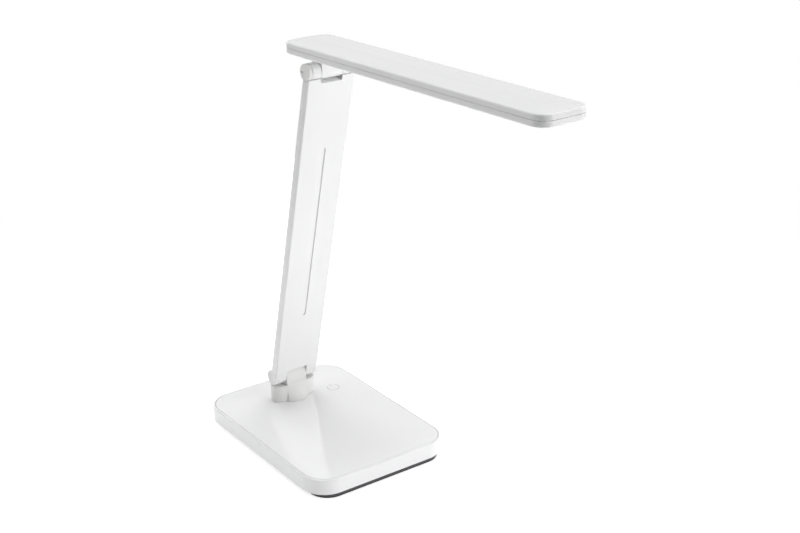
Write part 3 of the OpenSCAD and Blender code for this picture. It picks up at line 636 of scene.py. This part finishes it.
class LAMP_OT_hinges(bpy.types.Operator):
    """Build the swivel disc, the hinge block and the four end caps"""
    bl_idname = "lamp.hinges"
    bl_label = "Hinges"

    def execute(self, context):
        hinge, arm = context.scene.lamp_hinges, context.scene.lamp_arm
        disc_z = BLOCK_LOW[2]
        low_edge, high_edge = 0.2 * MM, 1.9 * MM
        disc = solid(circle(hinge.disc), disc_z, disc_z + hinge.disc_height, low_edge, high_edge, 9)
        disc = new_piece("swivel_disc_round", [placed(disc, (0, SWIVEL[1], 0))])
        finish_piece(disc, "turret", "hinge_white", MATERIALS["hinge_white"], "swivel_disc")

        width, depth = (BLOCK_HIGH - BLOCK_LOW)[:2]
        shoulder = LOW_PIN[2] - hinge.shoulder
        low_edge, high_edge = 0.3 * MM, 0.7 * MM
        block = solid(self.bowed_plan(width, depth), disc_z, shoulder, low_edge, high_edge)
        block = placed(block, (0, SWIVEL[1], 0))
        above_cover = 0.5 * MM
        knuckle = placed(self.knuckle(hinge, depth, width, LOW_PIN[2] - disc_z - above_cover), LOW_PIN)
        piece = new_piece("hinge_block_soft", [block, knuckle])
        finish_piece(piece, "turret", "hinge_white", MATERIALS["hinge_white"], "hinge_block")

        for place, level in (("lower", 0.0), ("upper", ARM_LENGTH)):
            for side, turn in (("left", mirrored), ("right", lambda grid: grid)):
                cap = new_piece(f"{place}_cap_{side}_round", [turn(self.cap(hinge, arm))])
                if place == "upper":
                    carve(cap, [turn(self.pry_slot(hinge, arm))])
                    soften(cap, SLOT_EDGE)
                cap.data.transform(Matrix.Translation((0, 0, level)))
                cap.data.transform(Matrix.Rotation(ARM_LEAN, 4, "X"))
                cap.data.transform(Matrix.Translation(LOW_PIN))
                finish_piece(cap, "arm", "hinge_white", MATERIALS["hinge_white"], f"{place}_cap_{side}")
        return {"FINISHED"}

    def bowed_plan(self, width, depth, count=144):
        """Superellipse: |2x / width|^p + |2y / depth|^p = 1, with p = BOW."""
        turn = np.arange(count) * 2 * np.pi / count
        bow = lambda c: np.sign(c) * np.abs(c) ** (2 / BOW)
        return np.stack([width / 2 * bow(np.cos(turn)), depth / 2 * bow(np.sin(turn))], -1)

    def knuckle(self, hinge, block_depth, block_width, below):
        """Rings across X of a side view that is a half circle over the pin and, below it, eases out to the
        block's bowed face: half depth = radius + (bow(x) - radius) s^2 (3 - 2 s), with s over the last two fifths
        of the way to the shoulder. From there it runs out to the disc's edge with f^2, f down to the disc."""
        half, radius = hinge.low_knuckle / 2, hinge.barrel
        levels = side_levels(-half, half, KNUCKLE_EDGE, KNUCKLE_EDGE, 3)
        inner = 0.85 * half
        middle = np.stack([np.zeros(7), np.linspace(-inner, inner, 7)], -1)
        levels = np.vstack([levels[:4], middle, levels[4:]])
        over = np.linspace(0, np.pi, 33)
        down = np.append(np.linspace(0, hinge.shoulder, 12)[1:], np.linspace(hinge.shoulder, below, 12)[1:])
        x = levels[:, 1, None]
        bow = block_depth / 2 * (1 - np.abs(2 * x / block_width) ** BOW) ** (1 / BOW)
        hair, under = 0.03 * MM, 0.15 * MM
        s = np.clip(down / hinge.shoulder / 0.4 - 1.5, 0, 1)[None]
        reach = radius + (bow + hair - radius) * s ** 2 * (3 - 2 * s)
        foot = np.clip((down - hinge.shoulder) / (below - hinge.shoulder), 0, 1)[None]
        disc = np.sqrt(hinge.disc ** 2 - x ** 2) - under
        reach = reach + np.maximum(disc - reach, 0) * foot ** 2
        drop = np.broadcast_to(-down, reach.shape)
        rows = len(levels)
        arc_y = np.broadcast_to(radius * np.cos(over), (rows, len(over)))
        arc_z = np.broadcast_to(radius * np.sin(over), (rows, len(over)))
        y = np.concatenate([arc_y, -reach, reach[:, ::-1]], 1)
        z = np.concatenate([arc_z, drop, drop[:, ::-1]], 1)
        flat = np.stack([y, z], -1)
        flat = np.stack([row + level[0] * inward(row) for row, level in zip(flat, levels)])
        return np.concatenate([np.broadcast_to(x[..., None], flat.shape[:2] + (1,)), flat], -1)

    def cap(self, hinge, arm):
        """A turned cap: its outer face is dished as depth (1 - (r / rim)^2), with a rounded rim."""
        outer = arm.width / 2 - hinge.cap_set
        inner = outer - hinge.cap_width
        flat, edge, eye = 0.2 * MM, 0.3 * MM, 0.4 * MM
        rim = hinge.cap - edge - flat
        r = np.linspace(0.06, 1, 16)
        face = np.stack([rim * r, outer - hinge.dish * (1 - r ** 2)], -1)
        turn = np.radians(np.linspace(90, 0, 5))
        top = np.stack([hinge.cap - edge + edge * np.cos(turn), outer - edge + edge * np.sin(turn)], -1)
        turn = np.radians(np.linspace(0, -90, 4))
        back = np.stack([hinge.cap - edge + edge * np.cos(turn), inner + edge + edge * np.sin(turn)], -1)
        profile = np.vstack([face, top, back, [[eye, inner]]])
        return along_x(lathe(profile))

    def pry_slot(self, hinge, arm):
        """A short round-ended slot from near the rim inwards, on the rear side of the face."""
        outer = arm.width / 2 - hinge.cap_set
        low, high, end = 0.45 * hinge.cap, 0.93 * hinge.cap, 0.4 * MM
        depth, above = 1.6 * MM, 1 * MM
        outline = soft_rectangle(hinge.slot_width, low, high, end, end)
        tilt = math.radians(-108.5)
        return placed(along_x(prism(outline, outer - depth, outer + above)), (0, 0, 0), tilt)


class LAMP_OT_arm(bpy.types.Operator):
    """Build the arm: front cover with its groove, rear shell and hinge ears"""
    bl_idname = "lamp.arm"
    bl_label = "Arm"

    def execute(self, context):
        arm, hinge = context.scene.lamp_arm, context.scene.lamp_hinges
        front = -hinge.barrel
        parting = front + arm.front
        rear = front + arm.thickness
        tiny, corner, air = 0.12 * MM, 0.5 * MM, 0.2 * MM
        cap_room, knuckle_room, overlap = hinge.cap + 0.15 * MM, hinge.barrel + 0.3 * MM, 0.25 * MM
        ear_out = arm.width / 2 - hinge.cap_set - hinge.cap_width - air
        low_notch = hinge.low_knuckle / 2 + hinge.play
        top_notch = hinge.top_knuckle / 2 + hinge.play
        far, above = 30 * MM, 2 * MM

        notches = [
            along_y(prism(soft_rectangle(2 * low_notch, -far, arm.notch, tiny, corner), -far, far)),
            along_y(prism(soft_rectangle(2 * top_notch, ARM_LENGTH - arm.notch, ARM_LENGTH + far, corner, tiny),
                          -far, far)),
        ]
        room = along_x(prism(circle(cap_room), ear_out, far))
        rooms = [placed(side(room), (0, 0, z)) for side in (mirrored, np.array) for z in (0, ARM_LENGTH)]
        barrel_room = placed(along_x(prism(circle(knuckle_room), -far, far)), (0, 0, ARM_LENGTH))
        end, bed = arm.groove_width / 2 - 0.01 * MM, 0.25 * MM
        groove = along_y(solid(
            soft_rectangle(arm.groove_width, arm.groove_start, arm.groove_start + arm.groove_length, end, end, 10),
            front - above, front + arm.groove_depth, tiny, bed))

        section = soft_rectangle(arm.width, front, parting - arm.seam / 2, arm.edge, 2 * tiny, 9)
        cover = solid(section, arm.cover_start, ARM_LENGTH - arm.cover_drop, tiny, tiny, 2)
        cover = new_piece("arm_cover_front", [cover])
        carve(cover, notches + rooms + [barrel_room, groove])
        soften(cover, SHELL_EDGE)
        self.lay(cover)
        finish_piece(cover, "arm", "satin_white", MATERIALS["satin_white"], "arm_front_cover")

        section = soft_rectangle(arm.width, parting + arm.seam / 2, rear, 2 * tiny, arm.edge, 9)
        back = new_piece("arm_shell_rear", [solid(section, 0, ARM_LENGTH, tiny, tiny, 2)])
        bore, sink = 2.35 * MM, 0.95 * MM
        bores = [placed(along_y(prism(circle(bore, 40), rear - sink, rear + above)), (x, 0, z))
                 for x, z in self.screw_places(*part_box("arm_screws"))]
        carve(back, notches + rooms + bores)
        soften(back, SHELL_EDGE)
        inner_edge, outer_edge = 0.4 * MM, 0.3 * MM
        ears = []
        for inner, z in ((low_notch, 0.0), (top_notch, ARM_LENGTH)):
            ear = solid(circle(hinge.barrel), inner - overlap, ear_out, inner_edge, outer_edge)
            ear = placed(along_x(ear), (0, 0, z))
            ears += [ear, mirrored(ear)]
        core = new_piece("arm_hinge_ears", ears)
        for piece in (back, core):
            self.lay(piece)
            finish_piece(piece, "arm", "satin_white", MATERIALS["satin_white"],
                         *(["arm_rear_shell"] if piece is back else []))
        return {"FINISHED"}

    def screw_places(self, low, high):
        """The four screws' (x, z) in the arm's frame, from the box of the CAD screws."""
        radius = 2.2 * MM
        y = np.array([high[1], low[1]]) - LOW_PIN[1]
        z = np.array([low[2], high[2]]) - LOW_PIN[2]
        along = -y * math.sin(ARM_LEAN) + z * math.cos(ARM_LEAN)
        ends = (along[0] + radius, along[1] - radius)
        return [(side * (high[0] - radius), end) for side in (-1, 1) for end in ends]

    def lay(self, piece):
        """Turns and moves a piece from the arm's frame to its place."""
        piece.data.transform(Matrix.Translation(LOW_PIN) @ Matrix.Rotation(ARM_LEAN, 4, "X"))


class LAMP_OT_head(bpy.types.Operator):
    """Build the light head: bracket, lower frame, glossy top and light window"""
    bl_idname = "lamp.head"
    bl_label = "Head"

    def execute(self, context):
        head, hinge = context.scene.lamp_head, context.scene.lamp_hinges
        under = head.gap
        parting = under + head.frame
        top = under + head.height
        middle = (head.rear - head.front) / 2
        span = head.front + head.rear
        seam = 0.08 * MM

        def ring(inset, corner=None):
            """Outline of the head drawn in by an inset."""
            outline = plan(head.width - 2 * inset, span - 2 * inset,
                           max(head.corner - inset, 1 * MM) if corner is None else corner, 14)
            return outline + np.array([0, middle])

        def window(inset, corner=2 * MM):
            """Outline of the light window drawn in by an inset."""
            outline = plan(head.window_width - 2 * inset, head.window_length - 2 * inset, corner, 14)
            return outline + np.array([0, -head.front + head.window_inset + head.window_length / 2])

        into_head = 2 * MM
        knuckle = new_piece("head_bracket_soft", [self.bracket(hinge, under + into_head)])

        part = np.linspace(0, 1, 14)
        edge = head.edge
        chamfer, lip, flat, least = 0.15 * MM, 1.5 * MM, 4 * MM, 3.4 * MM
        side = round_corner(edge, top - edge, edge, 0, 84, 6)
        wide = edge + (head.width / 2 - flat - edge) * part
        rise = top + head.crown * (1 - (1 - part) ** 2)
        corner = head.corner - edge + (least - head.corner + edge) * part
        step = 0.5 * MM
        outlines = [ring(lip), ring(chamfer), ring(0)] + [ring(i) for i in side[:, 0]]
        outlines += [ring(i, c) for i, c in zip(wide, corner)] + [ring(wide[-1] + step, least - step)]
        heights = [parting + seam, parting + seam, parting + seam + chamfer, *side[:, 1], *rise, rise[-1]]
        shell_top = new_piece("head_top_gloss", [rings(outlines, heights)])

        side = round_corner(edge, under + edge, edge, 0, -90, 6)
        border, bend, wall, roof = 0.3 * MM, 0.05 * MM, 3 * MM, parting - 0.8 * MM
        outlines = [ring(lip), ring(chamfer), ring(0)] + [ring(i) for i in side[:, 0]]
        heights = [parting - seam, parting - seam, parting - seam - chamfer, *side[:, 1]]
        outlines += [ring(edge + border), window(-border), window(bend), window(chamfer), window(chamfer),
                     ring(wall)]
        heights += [under, under, under + bend, under + bend + chamfer, roof, roof]
        lower = new_piece("head_frame_lower", [rings(outlines, heights)], closed=True)

        air, sink, thick, back_edge = 0.2 * MM, 0.25 * MM, 1.95 * MM, 0.1 * MM
        light = new_piece("light_window", [stack(window(air), side_levels(
            under + sink, under + sink + thick, sink, back_edge))])

        turn = Matrix.Translation(TOP_PIN) @ Matrix.Rotation(head.tilt, 4, "X")
        for piece, slot, node in ((knuckle, "satin_white", "head_bracket"),
                                  (shell_top, "gloss_white", "head_top_shell"),
                                  (lower, "satin_white", "head_lower_frame"), (light, "opal", "diffuser")):
            piece.data.transform(turn)
            finish_piece(piece, "head", slot, MATERIALS[slot], node)
        return {"FINISHED"}

    def bracket(self, hinge, top):
        """Side view of a half circle under the pin with upright faces above it, carried along X."""
        under = np.linspace(np.pi, 2 * np.pi, 40)
        arc = hinge.barrel * np.stack([np.cos(under), np.sin(under)], -1)
        outline = np.vstack([arc, [[hinge.barrel, top * 0.5], [hinge.barrel, top], [-hinge.barrel, top],
                                   [-hinge.barrel, top * 0.5]]])
        half = hinge.top_knuckle / 2
        return along_x(solid(outline, -half, half, KNUCKLE_EDGE, KNUCKLE_EDGE))


class LAMP_OT_inside(bpy.types.Operator):
    """Give every CAD node that is shown the finish of its material slot"""
    bl_idname = "lamp.inside"
    bl_label = "Inner parts"

    def execute(self, context):
        for part in frame["record"]["subparts"]:
            node = NODES[part["node"]]
            for slot in node.material_slots:
                slot.material = MATERIALS[part["material_slot"]]
        return {"FINISHED"}


class LAMP_OT_stage(bpy.types.Operator):
    """Set the floor, the lamps, the surroundings and the camera"""
    bl_idname = "lamp.stage"
    bl_label = "Stage"

    def execute(self, context):
        scene = context.scene
        scene.view_settings.view_transform = "Standard"
        self.surroundings(scene)
        self.floor(scene)
        target = (0, -0.05, 0.2)
        for name, place, size, power in (("key", (1.1, -1.5, 0.6), 1.2, 12), ("low", (0.8, -1.6, 0.15), 1.0, 12),
                                         ("left", (-1.25, 0.5, 0.65), 1.2, 5), ("right", (0.9, 0.3, 1.6), 1.5, 4),
                                         ("overhead", (0.2, 0.2, 2.0), 1.6, 28), ("back", (0.2, 1.7, 0.5), 1.2, 7)):
            self.lamp(scene, name, place, target, size, power)
        self.camera(scene)
        return {"FINISHED"}

    def lamp(self, scene, name, place, target, size, power):
        """A square area lamp that looks at a target."""
        data = bpy.data.lights.new(name, "AREA")
        data.size, data.energy = size, power
        made = bpy.data.objects.new(name, data)
        made.location = place
        made.rotation_mode = "QUATERNION"
        made.rotation_quaternion = (Vector(target) - Vector(place)).to_track_quat("-Z", "Y")
        made.visible_glossy = False
        scene.collection.objects.link(made)

    def surroundings(self, scene):
        """The studio around the lamp. Its even light and what gloss mirrors of it, which is paler towards the
        horizon, both fade out towards the front left, where the photographer stands; the camera sees white."""
        world = scene.world or bpy.data.worlds.new("surroundings")
        scene.world = world
        world.use_nodes = True
        tree = world.node_tree
        white = tree.nodes["Background"]
        white.inputs["Color"].default_value = (1.0, 1.0, 1.0, 1.0)
        place = tree.nodes.new("ShaderNodeTexCoord")
        parts = tree.nodes.new("ShaderNodeSeparateXYZ")
        tree.links.new(place.outputs["Generated"], parts.inputs[0])
        front_left, fade_from, fade_to = Vector((-0.35, -0.91, -0.2)).normalized(), 0.6, 0.88
        rise_from, rise_to = 0.05, 0.45
        gap = tree.nodes.new("ShaderNodeVectorMath")
        gap.operation = "DOT_PRODUCT"
        gap.inputs[1].default_value = front_left
        tree.links.new(place.outputs["Generated"], gap.inputs[0])
        made = []
        for low, high, colour in ((0.28, 0.28, (0.985, 0.99, 1.0, 1.0)), (0.6, 0.1, (1.0, 1.0, 1.0, 1.0))):
            rise = remap(tree, parts.outputs["Z"], rise_from, rise_to, low, high)
            near = remap(tree, gap.outputs["Value"], fade_from, fade_to, 1.0, 0.0)
            level = tree.nodes.new("ShaderNodeMath")
            level.operation = "MULTIPLY"
            tree.links.new(rise, level.inputs[0])
            tree.links.new(near, level.inputs[1])
            back = tree.nodes.new("ShaderNodeBackground")
            back.inputs["Color"].default_value = colour
            tree.links.new(level.outputs[0], back.inputs["Strength"])
            made.append(back.outputs[0])
        path = tree.nodes.new("ShaderNodeLightPath")
        for ray, seen in (("Is Glossy Ray", made[1]), ("Is Transmission Ray", white.outputs[0]),
                          ("Is Camera Ray", white.outputs[0])):
            mix = tree.nodes.new("ShaderNodeMixShader")
            tree.links.new(path.outputs[ray], mix.inputs[0])
            tree.links.new(made[0], mix.inputs[1])
            tree.links.new(seen, mix.inputs[2])
            made[0] = mix.outputs[0]
        tree.links.new(made[0], tree.nodes["World Output"].inputs["Surface"])

    def floor(self, scene):
        """A table top that keeps the lamp's shadow and is otherwise white to the camera."""
        size, level, grey, glow_unseen, glow_seen = 0.62, -0.1 * MM, 0.85, 0.08, 0.65
        corners = [(-size, -size, level), (size, -size, level), (size, size, level), (-size, size, level)]
        mesh = bpy.data.meshes.new("floor")
        mesh.from_pydata(corners, [], [(0, 1, 2, 3)])
        piece = bpy.data.objects.new("floor", mesh)
        scene.collection.objects.link(piece)
        material = bpy.data.materials.new("floor_white")
        material.use_nodes = True
        tree = material.node_tree
        tree.nodes.remove(tree.nodes["Principled BSDF"])
        diffuse = tree.nodes.new("ShaderNodeBsdfDiffuse")
        diffuse.inputs["Color"].default_value = (grey, grey, grey, 1.0)
        glow = tree.nodes.new("ShaderNodeEmission")
        both = tree.nodes.new("ShaderNodeAddShader")
        path = tree.nodes.new("ShaderNodeLightPath")
        seen = path.outputs["Is Camera Ray"]
        for ray in ("Is Glossy Ray", "Is Transmission Ray"):
            either = tree.nodes.new("ShaderNodeMath")
            either.operation = "MAXIMUM"
            tree.links.new(seen, either.inputs[0])
            tree.links.new(path.outputs[ray], either.inputs[1])
            seen = either.outputs[0]
        lift = remap(tree, seen, 0.0, 1.0, glow_unseen, glow_seen)
        tree.links.new(lift, glow.inputs["Strength"])
        tree.links.new(diffuse.outputs[0], both.inputs[0])
        tree.links.new(glow.outputs[0], both.inputs[1])
        tree.links.new(both.outputs[0], tree.nodes["Material Output"].inputs["Surface"])
        mesh.materials.append(material)

    def camera(self, scene):
        """The photograph's viewpoint."""
        azimuth, pitch, roll = (math.radians(a) for a in (-36.264, 22.57, -0.17))
        place, lens = (-0.5568, -0.8625, 0.5739), 64.83
        forward = np.array([-math.sin(azimuth) * math.cos(pitch), math.cos(azimuth) * math.cos(pitch),
                            -math.sin(pitch)])
        right = np.array([math.cos(azimuth), math.sin(azimuth), 0.0])
        up = np.cross(right, forward)
        right, up = (math.cos(roll) * right + math.sin(roll) * up, -math.sin(roll) * right + math.cos(roll) * up)
        data = bpy.data.cameras.new("camera")
        data.sensor_width, data.lens = 36.0, lens
        made = bpy.data.objects.new("camera", data)
        made.matrix_world = Matrix.Translation(place) @ Matrix(
            np.stack([right, up, -forward], 1).tolist()).to_4x4()
        scene.collection.objects.link(made)
        scene.camera = made


class LAMP_PT_panel(bpy.types.Panel):
    """Buttons that build the lamp piece by piece"""
    bl_idname = "LAMP_PT_panel"
    bl_label = "Folding desk lamp"
    bl_space_type = "VIEW_3D"
    bl_region_type = "UI"
    bl_category = "Lamp"

    def draw(self, context):
        for operator in OPERATORS:
            self.layout.operator(operator.bl_idname)
        for name in SIZES:
            group = getattr(context.scene, name)
            box = self.layout.box()
            for key in group.__annotations__:
                box.prop(group, key)


OPERATORS = (LAMP_OT_base, LAMP_OT_hinges, LAMP_OT_arm, LAMP_OT_head, LAMP_OT_inside, LAMP_OT_stage)
SIZES = {"lamp_base": BaseSizes, "lamp_hinges": HingeSizes, "lamp_arm": ArmSizes, "lamp_head": HeadSizes,
         "lamp_finish": Finishes}


def register():
    for group in (*SIZES.values(), *OPERATORS, LAMP_PT_panel):
        bpy.utils.register_class(group)
    for name, group in SIZES.items():
        setattr(bpy.types.Scene, name, PointerProperty(type=group))


def unregister():
    for name in SIZES:
        delattr(bpy.types.Scene, name)
    for group in (LAMP_PT_panel, *OPERATORS, *SIZES.values()):
        bpy.utils.unregister_class(group)


def main():
    register()
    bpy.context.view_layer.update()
    make_materials(bpy.context.scene.lamp_finish)
    for operator in OPERATORS:
        group, name = operator.bl_idname.split(".")
        getattr(getattr(bpy.ops, group), name)()


if __name__ == "__main__":
    main()
